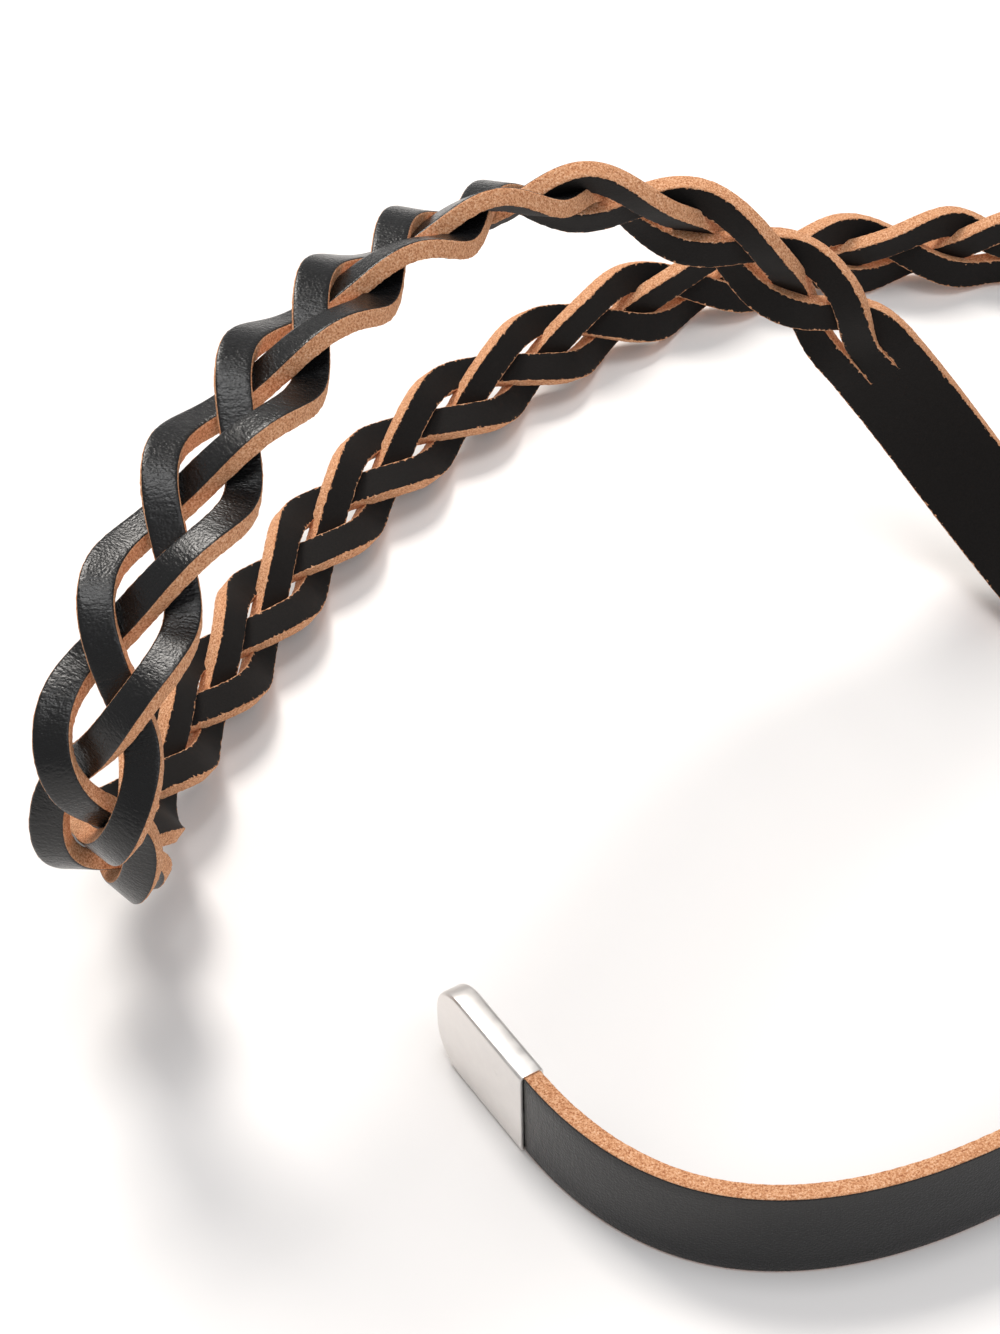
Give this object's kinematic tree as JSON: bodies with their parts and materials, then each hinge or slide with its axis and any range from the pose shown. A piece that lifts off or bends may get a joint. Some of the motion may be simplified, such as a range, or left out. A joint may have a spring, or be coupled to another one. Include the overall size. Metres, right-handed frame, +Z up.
{
  "type": "braided leather belt",
  "caption": "Narrow leather belt lying in a loop with an arch: a braid from one slit strap, plain ends, a metal tip and a prong buckle with a keeper.",
  "frame": {"origin": "on the surface the belt lies on, under the middle of its bounding box", "axes": "+Z up from the surface, +X along the buckle from the strap outwards, +Y to the back where the arch lands"},
  "size_m": [0.3381, 0.2913, 0.1183],
  "materials": {
    "leather": "semi-gloss black grain, tan cut edges",
    "tip_metal": "satin",
    "buckle_metal": "polished"
  },
  "bodies": {
    "belt": {"tip_cap": "tip_metal", "tip_rivet_low": "tip_metal", "tip_rivet_high": "tip_metal", "tip_strap": "leather", "arch_strap": "leather", "strand_a": "leather", "strand_b": "leather", "strand_c": "leather", "buckle_strap": "leather", "buckle_fold": "leather", "screw_post_front": "buckle_metal", "screw_post_rear": "buckle_metal", "screw_cap_front": "buckle_metal", "screw_cap_rear": "buckle_metal"},
    "buckle": {"buckle_frame": "buckle_metal", "buckle_bar": "buckle_metal"},
    "prong": {"prong": "buckle_metal"},
    "keeper": {"keeper_loop": "leather", "keeper_staple": "buckle_metal"}
  },
  "joints": [
    {"name": "buckle_hinge", "type": "hinge", "parent": "belt", "child": "buckle", "pos_m": [0.14314, 0.13345, 0.015], "axis": [0, 0, 1], "range_deg": [-75, 45]},
    {"name": "prong_hinge", "type": "hinge", "parent": "buckle", "child": "prong", "pos_m": [0.14314, 0.13345, 0.015], "axis": [0, 0, 1], "range_deg": [0, 90]},
    {"name": "keeper_slide", "type": "slide", "parent": "belt", "child": "keeper", "axis": [1, 0, 0], "range_m": [-0.002, 0.002]}
  ]
}
